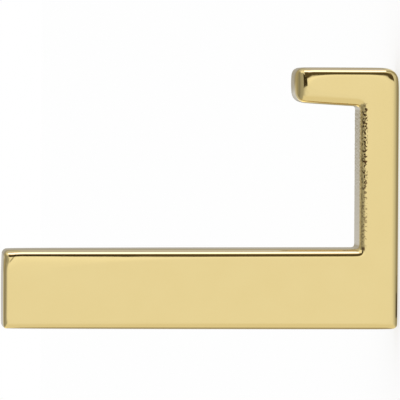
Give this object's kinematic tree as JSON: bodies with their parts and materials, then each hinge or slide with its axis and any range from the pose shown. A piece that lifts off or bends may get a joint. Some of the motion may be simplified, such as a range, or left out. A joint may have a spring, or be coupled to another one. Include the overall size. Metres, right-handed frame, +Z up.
{
  "type": "coat hook",
  "caption": "Square J-shaped solid brass coat hook, polished, with a long back bar for the wall, a level arm and a short upturned lip, fixed by hidden screws from behind.",
  "frame": {"origin": "centre of the hook's back face, on the surface of the wall", "axes": "+Z up along the back bar, +Y out of the back face into the wall, so the arm reaches out along -Y, and X across the hook's width"},
  "size_m": [0.012, 0.0529, 0.08],
  "materials": {
    "polished_brass": "polished and lacquered"
  },
  "bodies": {
    "root": {"hook": "polished_brass"}
  },
  "joints": []
}
